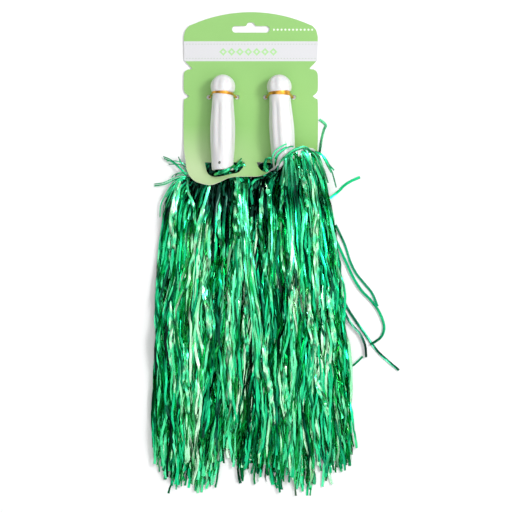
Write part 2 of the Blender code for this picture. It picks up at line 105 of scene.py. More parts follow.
class Nodes:
    """Short ways to add nodes to a tree and to feed them."""

    def __init__(self, tree):
        self.tree = tree

    def feed(self, socket, value):
        if isinstance(value, bpy.types.NodeSocket):
            self.tree.links.new(value, socket)
        else:
            socket.default_value = (*value, 1) if isinstance(value, tuple) else value

    def node(self, kind, settings=None, **inputs):
        made = self.tree.nodes.new(f"ShaderNode{kind}")
        for key, value in (settings or {}).items():
            setattr(made, key, value)
        for key, value in inputs.items():
            self.feed(made.inputs[key.replace("_", " ")], value)
        return made

    def math(self, operation, *values, clamp=False):
        made = self.node("Math", {"operation": operation, "use_clamp": clamp})
        for socket, value in zip(made.inputs, values):
            self.feed(socket, value)
        return made.outputs[0]

    def noise(self, scale, detail=2.0, vector=None, roughness=0.5):
        vector = vector or self.node("TexCoord").outputs["Object"]
        made = self.node("TexNoise", Vector=vector, Scale=scale, Detail=detail, Roughness=roughness)
        return made.outputs["Fac"]

    def ramp(self, factor, stops):
        made = self.node("ValToRGB", Fac=factor)
        elements = made.color_ramp.elements
        while len(elements) < len(stops):
            elements.new(0.5)
        for element, (place, colour) in zip(elements, stops):
            element.position = place
            element.color = (*colour, 1)
        return made.outputs["Color"]

    def mix(self, factor, first, second):
        made = self.node("Mix", {"data_type": "RGBA"})
        for number, value in ((0, factor), (6, first), (7, second)):
            self.feed(made.inputs[number], value)
        return made.outputs[2]


class Finish(Nodes):
    """A procedural material: a Principled shader and short ways to feed it."""

    def __init__(self, name, **constants):
        self.material = bpy.data.materials.new(name)
        self.material.use_nodes = True
        super().__init__(self.material.node_tree)
        self.set(**constants)

    def set(self, **inputs):
        shader = self.tree.nodes["Principled BSDF"]
        for key, value in inputs.items():
            self.feed(shader.inputs[key.replace("_", " ")], value)

    def spread(self, factor, low, high):
        """A 0 to 1 value stretched to low..high."""
        return self.math("MULTIPLY_ADD", factor, high - low, low)

    def bump(self, height, strength, distance):
        made = self.node("Bump", Height=height, Strength=strength, Distance=distance)
        self.set(Normal=made.outputs["Normal"])


def mottled(name, fleck, low, high, rough=None, relief=None, **constants):
    """A finish whose colour follows a noise from low to high.

    rough and relief each start with a noise's scale and detail. After them come the range of the
    roughness, and the strength and height of the bumps.
    """
    finish = Finish(name, **constants)
    finish.set(Base_Color=finish.mix(finish.noise(*fleck), low, high))
    if rough:
        finish.set(Roughness=finish.spread(finish.noise(*rough[:2]), *rough[2:]))
    if relief:
        finish.bump(finish.noise(*relief[:2]), *relief[2:])
    return finish.material


def tinsel_finish():
    """Metallised film with a clear green lacquer, crinkled, each strand a little different."""
    finish = Finish("green_tinsel_film", Metallic=1.0, Coat_Weight=0.3, Coat_IOR=1.35,
                    Coat_Roughness=0.08)
    tone = finish.node("Attribute", {"attribute_name": "tone"}).outputs["Fac"]
    patches = finish.spread(finish.noise(40.0), -0.09, 0.09)
    # the tone picks a stop: the darkest stops give painted shade, the palest stops give painted highlight
    finish.set(Base_Color=finish.ramp(finish.math("ADD", tone, patches), [
        (0.00, (0.0008, 0.018, 0.012)),
        (0.12, (0.0008, 0.027, 0.016)),
        (0.22, (0.0010, 0.110, 0.052)),
        (0.32, (0.0010, 0.300, 0.132)),
        (0.44, (0.0030, 0.490, 0.182)),
        (0.56, (0.0080, 0.580, 0.244)),
        (0.66, (0.0500, 0.620, 0.242)),
        (0.76, (0.0700, 0.700, 0.345)),
        (0.86, (0.2200, 0.780, 0.380)),
        (1.00, (0.5500, 0.880, 0.600)),
    ]))
    finish.set(Roughness=finish.spread(finish.noise(120.0, 3.0), 0.15, 0.34))
    finish.bump(finish.noise(330.0, 3.0, roughness=0.6), 0.30, 0.4 * MM)
    return finish.material


def card_front_finish():
    """Printed green card: an off-white band between two rows of stitches, with plain shapes."""
    finish = Finish("card_print", Coat_Weight=0.12, Coat_Roughness=0.35)
    flat = finish.node("UVMap", {"uv_map": "flat"}).outputs["UV"]
    parts = finish.node("SeparateXYZ", Vector=flat)
    x, y = parts.outputs["X"], parts.outputs["Y"]
    # all in mm on the flat card
    soften = 0.12  # how far the ink's edge spreads
    band_y, band_half = 21.1, 8.8
    stitch_rows, stitch_pitch, stitch_half, thread_half = (27.4, 14.8), 2.7, 0.62, 0.24
    rings_x, rings_y, ring_pitch, ring_outer, ring_inner, rings_half = -2.2, 20.6, 7.4, 3.5, 1.5, 25.8
    dots_x, dots_y, dot_pitch, dot_radius, dots_half = 37.4, 40.2, 3.4, 0.9, 17.6

    def inside(value, half):
        """1 where a value is within half of zero, with a soft edge."""
        gap = finish.math("SUBTRACT", half, finish.math("ABSOLUTE", value))
        return finish.math("MULTIPLY_ADD", gap, 1 / soften, 0.5, clamp=True)

    def offset(value, middle):
        return finish.math("SUBTRACT", value, middle)

    def repeat(value, period):
        """Distance from the nearest multiple of a period."""
        return finish.math("PINGPONG", value, period / 2)

    def both(first, second):
        return finish.math("MULTIPLY", first, second)

    grain = finish.noise(1.1, 4.0, flat, 0.7)
    cloud = finish.noise(0.02, 2.0, flat)
    colour = finish.mix(cloud, (0.236, 0.510, 0.124), (0.282, 0.572, 0.152))
    colour = finish.mix(both(grain, 0.08), colour, (0.60, 0.80, 0.48))
    # painted light: it is painted paler towards its lower left corner, where the card curves up
    painted_lit_corner = both(finish.math("MULTIPLY_ADD", y, -1 / 38, -44 / 38, clamp=True),
                 finish.math("MULTIPLY_ADD", x, -1 / 70, 0.35, clamp=True))
    colour = finish.mix(both(painted_lit_corner, 0.75), colour, (0.60, 0.73, 0.44))
    colour = finish.mix(inside(offset(y, band_y), band_half), colour, (0.665, 0.665, 0.690))
    for row in stitch_rows:
        dash = both(inside(repeat(x, stitch_pitch), stitch_half), inside(offset(y, row), thread_half))
        colour = finish.mix(both(dash, 0.8), colour, (0.34, 0.44, 0.33))

    across = offset(x, rings_x)
    size = finish.math("ADD", repeat(across, ring_pitch), finish.math("ABSOLUTE", offset(y, rings_y)))
    ring = both(inside(size, ring_outer), finish.math("SUBTRACT", 1.0, inside(size, ring_inner)))
    colour = finish.mix(both(ring, inside(across, rings_half)), colour, (0.40, 0.70, 0.30))

    across = offset(x, dots_x)
    squares = [finish.math("POWER", value, 2.0) for value in (repeat(across, dot_pitch), offset(y, dots_y))]
    dot = inside(finish.math("SQRT", finish.math("ADD", *squares)), dot_radius)
    colour = finish.mix(both(dot, inside(across, dots_half)), colour, (0.82, 0.90, 0.76))
    finish.set(Base_Color=colour, Roughness=finish.spread(grain, 0.45, 0.62))
    finish.bump(grain, 0.10, 0.08 * MM)
    return finish.material


def card_back_finish():
    finish = Finish("card_back", Roughness=0.8)
    fibre = finish.noise(700.0, 5.0, roughness=0.7)
    board = finish.mix(finish.noise(60.0), (0.66, 0.66, 0.67), (0.76, 0.76, 0.77))
    finish.set(Base_Color=finish.mix(finish.math("MULTIPLY", fibre, 0.35), board, (0.56, 0.56, 0.55)))
    finish.bump(fibre, 0.18, 0.10 * MM)
    return finish.material


TINSEL = tinsel_finish()
CARD_EDGE = mottled("card_cut_edge", (1500, 3), (0.86, 0.84, 0.70), (0.93, 0.92, 0.84), Roughness=0.85)
PLASTIC = mottled("white_plastic", (90, 3), (0.74, 0.735, 0.74), (0.79, 0.785, 0.795),
                  (260, 3, 0.24, 0.40), (1600, 2, 0.06, 0.06 * MM), Coat_Weight=0.25,
                  Coat_Roughness=0.15, Subsurface_Weight=0.06, Subsurface_Scale=0.002)
GOLD = mottled("gold_foil", (260, 3), (0.72, 0.27, 0.015), (0.95, 0.50, 0.07), (500, 2, 0.28, 0.46),
               (260, 3, 0.25, 0.25 * MM), Metallic=1.0, Coat_Weight=0.4, Coat_Roughness=0.15)
PIN_STEEL = mottled("pin_steel", (2200, 3), (0.20, 0.23, 0.19), (0.40, 0.43, 0.37), (2200, 3, 0.3, 0.5),
                    Metallic=1.0)
BINDING = mottled("binding_band", (1200, 3), (0.62, 0.62, 0.58), (0.80, 0.80, 0.76),
                  relief=(1200, 3, 0.3, 0.1 * MM), Roughness=0.6)
WHITE_FLOOR = mottled("white_floor", (3, 2), (0.93, 0.93, 0.935), (0.95, 0.95, 0.955), Roughness=0.9)


# ---- shapes and curves


def add_object(name, data):
    made = bpy.data.objects.new(name, data)
    bpy.context.scene.collection.objects.link(made)
    return made


def mesh_object(name, verts, faces, material, sharp_deg):
    mesh = bpy.data.meshes.new(name)
    mesh.from_pydata([tuple(v) for v in verts], [], faces)
    mesh.update()
    mesh.shade_smooth()
    mesh.set_sharp_from_angle(angle=math.radians(sharp_deg))
    mesh.materials.append(material)
    return add_object(name, mesh)


def turn_to(thing, direction, axis):
    """Turns a thing so that one of its own axes points along a direction."""
    thing.rotation_mode = "QUATERNION"
    thing.rotation_quaternion = direction.to_track_quat(axis, "Y")


def strip_faces(rings, size, start=0):
    """Faces of a closed strip: round its rings of size places, and a cap at each end."""
    last = start + (rings - 1) * size
    faces = []
    for low in range(start, last, size):
        for i in range(size):
            j = (i + 1) % size
            faces.append((low + i, low + j, low + size + j, low + size + i))
    return [*faces, tuple(range(start, start + size))[::-1], tuple(range(last, last + size))]


def smooth_path(points, count):
    """count points, evenly spaced, on one smooth curve through the given ones (rows of any width)."""
    points = np.asarray(points, float)
    ends = np.vstack([2 * points[0] - points[1], points, 2 * points[-1] - points[-2]])
    t = np.linspace(0, 1, 12, endpoint=False)[:, None]
    runs = [0.5 * (2 * b + (c - a) * t + (2 * a - 5 * b + 4 * c - d) * t**2 + (3 * b - a - 3 * c + d) * t**3)
            for a, b, c, d in zip(ends, ends[1:], ends[2:], ends[3:])]
    fine = np.vstack([*runs, points[-1:]])
    length = np.concatenate([[0], np.cumsum(np.linalg.norm(np.diff(fine, axis=0), axis=1))])
    wanted = np.linspace(0, length[-1], count)
    return np.column_stack([np.interp(wanted, length, column) for column in fine.T])


def unit(vectors):
    return vectors / np.maximum(np.linalg.norm(vectors, axis=-1, keepdims=True), 1e-9)


def ribbons(name, centres, angles, widths, tones, crown=STRAND_CROWN, material=TINSEL):
    """Closed creased strips along rows of centres, turned about their own length by the angles.

    A tone for each strand, or for each of its stations, picks the film's shade; the tones also hold painted
    shade and painted highlight.
    """
    strands, stations = centres.shape[:2]
    along = unit(np.gradient(centres, axis=1))
    side = unit(np.cross(np.broadcast_to((0.0, 0.0, 1.0), along.shape), along) + 1e-6)
    normal = np.cross(along, side)
    cos, sin = np.cos(angles)[..., None], np.sin(angles)[..., None]
    across = cos * side + sin * normal
    facing = -sin * side + cos * normal
    half = np.asarray(widths)[:, None, None] / 2
    reach = np.abs(across[..., 2]) * half[..., 0]
    centres = centres.copy()
    centres[..., 2] = np.maximum(centres[..., 2], FLOOR + reach + crown)
    corners = np.stack([centres - across * half, centres + facing * crown,
                        centres + across * half, centres - facing * crown], axis=2)
    faces = [face for strand in range(strands) for face in strip_faces(stations, 4, strand * stations * 4)]
    made = mesh_object(name, corners.reshape(-1, 3), faces, material, 32)
    tone = made.data.attributes.new("tone", "FLOAT", "POINT")
    tones = np.broadcast_to(np.reshape(tones, (strands, -1)), (strands, stations))
    tone.data.foreach_set("value", np.repeat(tones, 4).astype(np.float32))
    return made


def zigzag(phase):
    """A wave with sharp turns, from -1 to 1, as creased film has."""
    return 2 / math.pi * np.arcsin(np.sin(phase))


def strand_turns(rng, lean, crinkle, stations, step):
    """How each strand of crinkled film turns about its own length, from its lean at the top."""
    column = (len(lean), 1)
    lean, crinkle, place = lean[:, None], crinkle[:, None], np.arange(stations) * step
    angles = lean + rng.normal(0, 4, column) * crinkle * place
    for wave, size in ((0.120, 0.60), (0.050, 0.34), (0.020, 0.20), (0.008, 0.10)):
        waves = wave * rng.uniform(0.7, 1.4, column)
        phase = math.tau * place / waves + rng.uniform(0, math.tau, column)
        angles = angles + size * crinkle * zigzag(phase)
    return angles


# ---- card

CARD_LIFT_START, CARD_LIFT_END, CARD_LIFT, CARD_LIFT_POWER = -45.0, -94.0, 15.0, 2.5


def arc(centre, radius, start_deg, end_deg, steps):
    angles = np.radians(np.linspace(start_deg, end_deg, steps + 1))
    return np.column_stack([centre[0] + radius * np.cos(angles), centre[1] + radius * np.sin(angles)])


def mirrored(points):
    return np.asarray(points)[::-1] * (-1, 1)


def card_right_edge():
    """The card's right-hand outline in mm, from the top of its dome to the foot of its middle."""
    top, shoulder = 55.7, (50.0, 45.5)
    drop = top - shoulder[1]
    radius = (shoulder[0]**2 + drop**2) / (2 * drop)
    dome = arc((0, top - radius), radius, 90, math.degrees(math.acos(shoulder[0] / radius)), 28)
    corner = smooth_path([(54.6, 43.6), (57.8, 39.6), (59.3, 34.0)], 12)
    upper_notch = [(58.9, 13.2), (52.4, 6.4), (52.0, 5.7), (52.6, 5.3), (55.4, 5.1)]
    lobe = smooth_path([(57.2, 4.2), (58.7, 2.4), (59.3, -1.0), (59.3, -12.6), (57.8, -16.2)], 20)
    lower_notch = [(55.2, -18.2), (54.7, -18.7), (55.2, -19.2)]
    lower_side = smooth_path([(57.8, -21.0), (59.3, -24.6), (59.3, -60), (57.9, -74), (55.8, -85.9),
                              (50.4, -93.4), (43.0, -96.6), (35.0, -97.7), (27.9, -95.4), (19.3, -91.4),
                              (10.8, -90.2)], 90)
    return np.vstack([dome, corner, upper_notch, lobe, lower_notch, lower_side])


def hang_slot():
    """Half of the slot is worked out, from its lower side round its end to its bump."""
    half, radius, middle, rise = 16.6, 2.9, 40.5, 3.2
    end = arc((half - radius, middle), radius, -90, 90, 16)
    top = middle + radius
    bump = smooth_path([(5.2, top), (4.0, top + 0.5), (2.8, top + 0.8 * rise), (1.2, top + rise)], 10)
    right = np.vstack([end, bump])
    return np.vstack([right, mirrored(right)])


def d_slot(direction):
    lower = smooth_path([(39.2, -84.2), (37.6, -87.8), (34.0, -90.2), (29.0, -90.4), (24.0, -89.6),
                         (17.5, -88.0), (11.0, -86.6), (7.0, -82.4)], 40)
    return np.vstack([[(40.6, -77.4)], lower, [(5.2, -77.4)]]) * (direction, 1)


def tie_holes():
    holes = []
    for side in SIDES:
        low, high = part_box(f"{side}_twist_tie")
        for x in (low.x + 0.55 * MM, high.x - 0.55 * MM):
            holes.append(arc((x / MM, -19.6), 2.0, 0, 345, 23))
    return holes


# The right pom's tinsel has pushed the strap up over its handle. Flat X and Y, then X, Y and Z there.
STRAP = [
    # the strap's slot side
    (11.0, -86.6, 10.9, -85.6, 11.6), (17.5, -88.0, 16.8, -86.4, 18.2), (24.0, -89.6, 22.6, -84.0, 25.4),
    (29.0, -90.4, 27.0, -81.6, 28.4), (34.0, -90.2, 33.0, -77.8, 28.8), (37.6, -87.8, 37.6, -75.2, 28.0),
    (39.2, -84.2, 43.4, -73.8, 25.6), (40.6, -77.4, 46.2, -72.2, 17.5), (36.0, -77.4, 36.4, -76.4, 6.6),
    # its outer side
    (10.8, -90.2, 11.4, -88.8, 14.6), (19.3, -91.4, 18.4, -83.6, 22.6), (27.9, -95.4, 24.8, -77.6, 29.4),
    (35.0, -97.7, 31.2, -72.3, 30.4), (43.0, -96.6, 38.6, -67.6, 30.2), (50.4, -93.4, 47.4, -65.4, 28.0),
    # the leg beside the slot
    (50.0, -80.0, 49.0, -70.8, 21.5), (50.0, -70.0, 50.0, -71.0, 11.5), (50.0, -62.0, 50.0, -65.0, 4.5),
    (55.8, -85.9, 55.6, -66.6, 23.6), (57.9, -74.0, 58.2, -69.8, 12.8), (59.3, -62.0, 59.1, -64.6, 4.4),
]
# the line along it from under which the topmost tinsel comes: X, Y and Z
STRAP_LINE = [(22, -82.5, 27.0), (27, -79.0, 27.2), (33, -75.5, 27.2), (39, -72.0, 26.0), (46, -70.0, 23.5),
              (53, -70.5, 18.0), (58, -74.0, 12.0)]
# places on the flat card that the push leaves where they are
STRAP_STILL = [(4, -90), (5, -85), (5, -77.4), (10, -77.4), (25, -77.4), (4, -62), (25, -65), (36, -63),
               (10, -50), (25, -50), (41, -50), (59.3, -50)]


def thin_plate(sources, moves):
    """A smooth function that gives each source place its move, and blends them in between."""

    def terms(places):
        gaps = np.linalg.norm(places[:, None] - sources[None], axis=2)
        bend = np.where(gaps > 0, gaps**2 * np.log(np.maximum(gaps, 1e-9)), 0)
        return bend, np.column_stack([np.ones(len(places)), places])

    bend, flat = terms(sources)
    system = np.block([[bend, flat], [flat.T, np.zeros((3, 3))]])
    weights = np.linalg.solve(system, np.vstack([moves, np.zeros((3, moves.shape[1]))]))

    def move(places):
        bend, flat = terms(places)
        return bend @ weights[:len(sources)] + flat @ weights[len(sources):]

    return move


def ease(value):
    value = np.clip(value, 0, 1)
    return value * value * (3 - 2 * value)


def card_height(y):
    """Height of the card's back in mm, from Y in mm."""
    reach = np.clip((CARD_LIFT_START - y) / (CARD_LIFT_START - CARD_LIFT_END), 0, None)
    return CARD_LIFT * reach**CARD_LIFT_POWER


def evaluated(thing):
    graph = bpy.context.evaluated_depsgraph_get()
    return bpy.data.meshes.new_from_object(thing.evaluated_get(graph))


def card_outline():
    """The card's flat outline with its slots and holes, filled, in mm."""
    curve = bpy.data.curves.new("card_outline", "CURVE")
    curve.dimensions = "2D"
    curve.fill_mode = "BOTH"
    right = card_right_edge()
    border = np.vstack([right, mirrored(right)[:-1]])
    for loop in (border, hang_slot(), d_slot(-1), d_slot(1), *tie_holes()):
        spline = curve.splines.new("POLY")
        spline.points.add(len(loop) - 1)
        for point, place in zip(spline.points, loop):
            point.co = (*place, 0, 1)
        spline.use_cyclic_u = True
    outline = add_object("card_outline", curve)
    mesh = evaluated(outline)
    bpy.data.objects.remove(outline)
    return mesh


def bent_card(flat):
    """Places in mm on the card as it hangs, from places on the flat card."""
    table = np.array([*STRAP, *[(x, y, x, y, card_height(y)) for x, y in STRAP_STILL]], float)
    places = table[:, :2]
    push = thin_plate(places, table[:, 2:] - np.column_stack([places, card_height(places[:, 1])]))(flat)
    share = ease((flat[:, 0] - 3) / 7) * ease((-49 - flat[:, 1]) / 8)
    moved = np.column_stack([flat, card_height(flat[:, 1])]) + push * share[:, None]
    moved[:, 2] += 0.10 * np.sin(flat[:, 0] * 0.11) * ease((-flat[:, 1]) / 40)  # it isn't quite flat
    return moved


def header_card():
    mesh = card_outline()
    work = bmesh.new()
    work.from_mesh(mesh)
    bmesh.ops.remove_doubles(work, verts=work.verts, dist=0.001)
    everywhere, lifted = 60, -44
    cuts = [(1, lifted, -98, -1.5, everywhere), (0, 3, 59, 1.5, lifted), (0, -58, 3, 4.0, lifted)]
    for axis, start, end, step, below in cuts:
        normal = Vector(np.eye(3)[axis])
        for place in np.arange(start, end, step):
            faces = [f for f in work.faces if f.calc_center_median().y < below]
            edges = {e for f in faces for e in f.edges}
            verts = {v for f in faces for v in f.verts}
            bmesh.ops.bisect_plane(work, geom=[*faces, *edges, *verts], dist=0.0005,
                                   plane_co=place * normal, plane_no=normal)
    bmesh.ops.recalc_face_normals(work, faces=work.faces)
    if sum(f.normal.z * f.calc_area() for f in work.faces) < 0:
        bmesh.ops.reverse_faces(work, faces=work.faces)
    flat_layer = work.loops.layers.uv.new("flat")
    for face in work.faces:
        for loop in face.loops:
            loop[flat_layer].uv = loop.vert.co.xy
    for vert, place in zip(work.verts, bent_card(np.array([v.co.xy for v in work.verts]))):
        vert.co = Vector(place) * MM
    work.to_mesh(mesh)
    work.free()

    card = add_object("printed_card", mesh)
    mesh.materials.clear()
    for material in (card_front_finish(), card_back_finish(), CARD_EDGE):
        mesh.materials.append(material)
    mesh.shade_smooth()
    sheet = card.modifiers.new("thickness", "SOLIDIFY")
    sheet.thickness = CARD_THICKNESS
    sheet.offset = 1.0
    sheet.material_offset = 1
    sheet.material_offset_rim = 2
    apply_modifiers(card)
    card.data.set_sharp_from_angle(angle=math.radians(50))
    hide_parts("header_card")
    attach(card, "card")


def apply_modifiers(thing):
    mesh = evaluated(thing)
    thing.modifiers.clear()
    thing.data = mesh


# ---- handles


def pom_axis(side):
    """The handle's frame at its neck: local -Z runs to the mouth and local -Y faces up."""
    neck = Vector(JOINTS[f"{side}_pom_swing"]["pos_m"])
    low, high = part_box(f"{side}_root_binding")
    z = (neck - (low + high) / 2).normalized()
    y = -(Vector((0, 0, 1)) - z * z.z).normalized()
    x = y.cross(z)
    matrix = Matrix((x, y, z)).transposed().to_4x4()
    matrix.translation = neck
    return matrix


def mouth(side):
    return pom_axis(side) @ Vector((0, 0, TIE_STATION - HANDLE_LENGTH))


def handle_profile():
    """Radius and station of each ring from the ball's top to the bore's end, and how many are outside."""
    ball_end = math.pi - math.asin(9.93 * MM / BALL_RADIUS)
    ball = [(BALL_RADIUS * math.sin(a), BALL_RADIUS * (1 - math.cos(a)))
            for a in np.linspace(0.06, ball_end, 26)]
    grip = smooth_path(mm([(9.3, 19.8), (9.7, 28), (10.75, 42), (10.95, 50), (10.6, 64), (9.85, 77),
                           (9.5, 83.4)]), 44)
    lip = mm([(9.42, 84.0), (9.2, 84.4), (8.9, 84.6), (8.1, 84.6)])
    neck = mm([(9.5, 15.3), (9.15, 15.6), (9.05, 16.1), (9.05, 18.3), (9.15, 19.1)])
    bore = [(r - WALL, s) for r, s in grip[::-4] if 25.0 * MM < s < 83.5 * MM]
    outer = [(0.0, 0.0), *ball, *neck, *grip]
    return np.array([*outer, *lip, *bore, (6.0 * MM, 25.0 * MM), (0.0, 25.0 * MM)]), len(outer)


def handle(side):
    """A turned handle with eight shallow flutes on its ball and on its grip, and a fine mould line."""
    profile, outside = handle_profile()
    columns = 160
    phi = np.arange(columns) * math.tau / columns
    lobes = (0.5 - 0.5 * np.cos(FLUTES * phi)) ** 1.4
    verts, rings = [], []
    for row, (radius, station) in enumerate(profile):
        if radius == 0:
            rings.append([len(verts)] * columns)
            verts.append((0, 0, TIE_STATION - station))
            continue
        surface = np.full(columns, radius)
        if row < outside:
            on_ball = ease((station - 1.5 * MM) / (4 * MM)) * ease((NECK_START - station) / (3 * MM))
            on_grip = ease((station - 19.8 * MM) / (10 * MM)) * ease((74 * MM - station) / (16 * MM))
            depth = FLUTE_DEPTH * (0.75 * on_ball + on_grip)
            mould = 0.05 * MM * np.exp(-((np.abs(np.sin(phi)) * radius / (0.16 * MM)) ** 2))
            surface = radius - depth * lobes + (mould if depth else 0)
        rings.append(list(range(len(verts), len(verts) + columns)))
        verts.extend(zip(surface * np.cos(phi), surface * np.sin(phi), [TIE_STATION - station] * columns))
    faces = []
    for upper, lower in zip(rings, rings[1:]):
        for i in range(columns):
            j = (i + 1) % columns
            faces.append(list(dict.fromkeys((upper[i], lower[i], lower[j], upper[j]))))
    made = mesh_object(f"{side}_fluted_handle", verts, faces, PLASTIC, 50)
    matrix = pom_axis(side)
    made.data.transform(matrix)

    outward = Vector((-math.sin(PIN_ANGLE), -math.cos(PIN_ANGLE), 0))
    place = matrix @ (outward * 9.5 * MM + Vector((0, 0, TIE_STATION - PIN_STATION)))
    bpy.ops.mesh.primitive_cylinder_add(vertices=32, radius=1.25 * MM, depth=6 * MM, location=place)
    drill = bpy.context.object
    turn_to(drill, matrix.to_3x3() @ outward, "Z")
    hole = made.modifiers.new("pin_hole", "BOOLEAN")
    hole.operation = "DIFFERENCE"
    hole.object = drill
    bpy.context.view_layer.update()
    apply_modifiers(made)
    made.data.shade_smooth()
    made.data.set_sharp_from_angle(angle=math.radians(50))
    bpy.data.objects.remove(drill)
    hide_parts(f"{side}_handle")
    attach(made, f"{side}_pom")


# ---- twist tie


def twist_tie(side):
    """Foil strip with a wire along its middle, over the neck, through the card, twisted behind it."""
    neck = Vector(JOINTS[f"{side}_pom_swing"]["pos_m"]) / MM
    low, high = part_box(f"{side}_twist_tie")
    left, right = low.x / MM + 0.55, high.x / MM - 0.55
    middle, tail_x = (left + right) / 2, 3.4
    hole_y, tail_y, tail_z = -19.6, -19.8, GROUND + 0.62
    slant = {"left": -0.9, "right": -0.35}[side]
    radius = NECK_RADIUS / MM + 0.42
    over = []
    for angle in np.radians(np.linspace(-12, 192, 13)):
        sag = 1.3 * (1 - math.sin(angle) ** 0.5 if 0 < angle < math.pi else 1)
        over.append((neck.x + radius * math.cos(angle), neck.y + 0.9 + slant * math.cos(angle) - sag,
                     neck.z + radius * math.sin(angle)))
    to_right = [(right - 1.2, hole_y + 0.7, 4.6), (right - 0.1, hole_y, 1.2),
                (right - 0.3, hole_y, tail_z + 0.3), (right - 3, hole_y, tail_z),
                (middle + tail_x, tail_y, tail_z)]
    to_left = [(2 * middle - x, y, z) for x, y, z in to_right]
    strip = smooth_path(mm([*to_right[::-1], *over, *to_left]), 110)

    outward = unit(strip * (1, 0, 1) - np.array((neck.x, 0, neck.z)) * MM)
    along = unit(np.gradient(strip, axis=0))
    outward = unit(outward - along * np.sum(outward * along, axis=1, keepdims=True))
    across = np.cross(along, outward)
    half = {"left": 1.25, "right": 1.9}[side] * MM
    narrow = 0.45 + 0.55 * ease((strip[:, 2] / MM - 1.0) / 7)  # it is pinched where it enters the card
    section = [(-1.0, 0.06), (-0.45, 0.13), (-0.2, 0.34), (0.0, 0.42), (0.2, 0.34), (0.45, 0.13),
               (1.0, 0.06), (1.0, -0.06), (0.0, -0.12), (-1.0, -0.06)]
    verts = []
    for place, out, wide, share in zip(strip, outward, across, narrow):
        verts.extend(place + wide * (u * half * share) + out * (v * MM) for u, v in section)
    made = mesh_object(f"{side}_gold_tie", verts, strip_faces(len(strip), len(section)), GOLD, 45)

    tails = []
    for turn, start_x in ((0, tail_x), (math.pi, -tail_x)):
        coil, down = turn + 1.9 * np.arange(11), 0.72 * np.arange(11)
        coiled = np.column_stack([middle + 0.48 * np.cos(coil), hole_y - 1.2 - down,
                                  tail_z + 0.22 * np.sin(coil)])
        tails.append(smooth_path(mm([(middle + start_x, tail_y, tail_z), *coiled]), 60))
    turns = np.linspace(0, 9, 60)[None] + np.array([[0.0], [math.pi]])
    tail = ribbons(f"{side}_tie_tails", np.array(tails), turns * 0.6, [1.0 * MM] * 2, [0.5, 0.5],
                   0.2 * MM, GOLD)
    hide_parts(f"{side}_twist_tie")
    for piece in (made, tail):
        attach(piece, "card")


# ---- tinsel

# X of a skirt's inner and outer side, outward from the middle, down its length, in mm
SKIRT_WIDTHS = {
    "left": [(-106, 2, 69), (-125, 2.6, 75), (-160, 4.5, 80), (-220, 8.5, 83), (-280, 14, 82.5),
             (-330, 20, 82.5), (-375, 25, 84)],
    "right": [(-106, -1, 64.5), (-125, -1.4, 70), (-160, -2.5, 74.5), (-220, -5, 77.5), (-280, -9, 80.5),
              (-330, -13, 85.5), (-375, -14, 89)],
}
EDGE_SLACK = {"left": 1, "right": 8}  # how far a strand may stray past a skirt's outer side
# how high the tinsel lies, from Y
PILE_HEIGHTS = [(-106, 12.0), (-118, 14.0), (-140, 16.5), (-200, 17.5), (-280, 16.0), (-330, 11.0),
                (-375, 4.0)]
# how far down the tips reach, across both skirts
TIP_LINE = [(-95, -336), (-86, -348), (-76, -357), (-67, -369), (-60, -360), (-52, -366), (-45, -360),
            (-38, -369), (-33, -362), (-30, -344), (-26, -328), (-19, -328), (-16, -344), (-11, -360),
            (-6, -364), (-1, -352), (6, -362), (12, -354), (18, -367), (25, -371), (32, -360), (39, -366),
            (47, -371), (54, -369), (61, -354), (68, -360), (76, -352), (86, -350), (98, -338)]
# hollows beside the card's lower edge where only deep strands lie, pressed low and painted in shade: X from,
# X to, Y where they end
HOLLOWS = [(-58, -37, -122), (-39, -13, -160), (-3, 15, -138), (20, 34, -112), (38, 47, -100)]


def reading(rows, y, column):
    """A table's value at a place down its length, from the column asked for."""
    table = np.array(rows)
    return np.interp(-y, -table[:, 0], table[:, column])


SKIRT_STATIONS = 68


def skirt_point(side, share, level, y, fade=1.0):
    """A place in a skirt in mm, from its shares across and up."""
    near, far = (reading(SKIRT_WIDTHS[side], y, column) for column in (1, 2))
    rim = 1 - 0.62 * abs(2 * share - 1) ** 3
    z = GROUND + 0.5 + level * reading(PILE_HEIGHTS, y, 1) * rim * fade
    return [SIDES[side] * (near + share * (far - near)), y, z]


def skirt_keys(rng, side, m, share, level, tip):
    """The places in mm that one strand goes through, from inside its mouth to its tip."""
    hinge = skirt_point(side, share, level, -106)
    spread = hinge[0] - m[0]
    swing = abs(spread) / 60
    start = m + (rng.uniform(-4.4, 4.4), 8, rng.uniform(-4.4, 4.4))
    if side == "right" and level > 0.42 and hinge[0] > 8:
        line_x = 26 + 30 * (hinge[0] - 8) / 64 + rng.normal(0, 1.5)
        line = np.array([line_x, *strap_line(line_x)])
        away = hinge[0] - line_x
        start = line + (0, 1.5, -0.3)
        leaving = line + (0.15 * away, -3.0, 0.3 + 1.2 * level)
        second = [line_x + 0.42 * away, line[1] - 8 - 4 * swing, line[2] - 1.5 + 3 * level]
        third = [line_x + 0.78 * away, -94 + 3 * swing, 0.5 * line[2] + 8 * level]
        hinge[2] = GROUND + 2 + level * 17
    elif side == "right" and spread > 0:
        leaving = m + (rng.uniform(-5, 6), -1.5, rng.uniform(-5, 5))
        second = [m[0] + 0.42 * spread, -86 + 9.5 * swing, 2 + 19.5 * (0.35 + 0.65 * level) * level + 3]
        third = [m[0] + 0.84 * spread, -93 + 11 * swing, 1.0 + 19 * level * (1 - 0.25 * swing)]
        hinge[2] = GROUND + 1 + level * 16.5
    else:
        leaving = m + (rng.uniform(-5, 5), -1.0, rng.uniform(-7, 1))
        inner = spread * SIDES[side] < 0
        second = [m[0] + (0.55 if inner else 0.40) * spread, -88.5, GROUND + 0.8 + 9.0 * level]
        third = [m[0] + (0.95 if inner else 0.82) * spread,
                 -94.5 if inner else -97.5 + 4.5 * swing**2, GROUND + 0.8 + 10.5 * level]
    down = [skirt_point(side, share, level, y) for y in (-118, -140, -180, -230, -280, -320) if y > tip + 18]
    return [start, leaving, second, third, hinge, *down, skirt_point(side, share, level, tip, 0.7)]


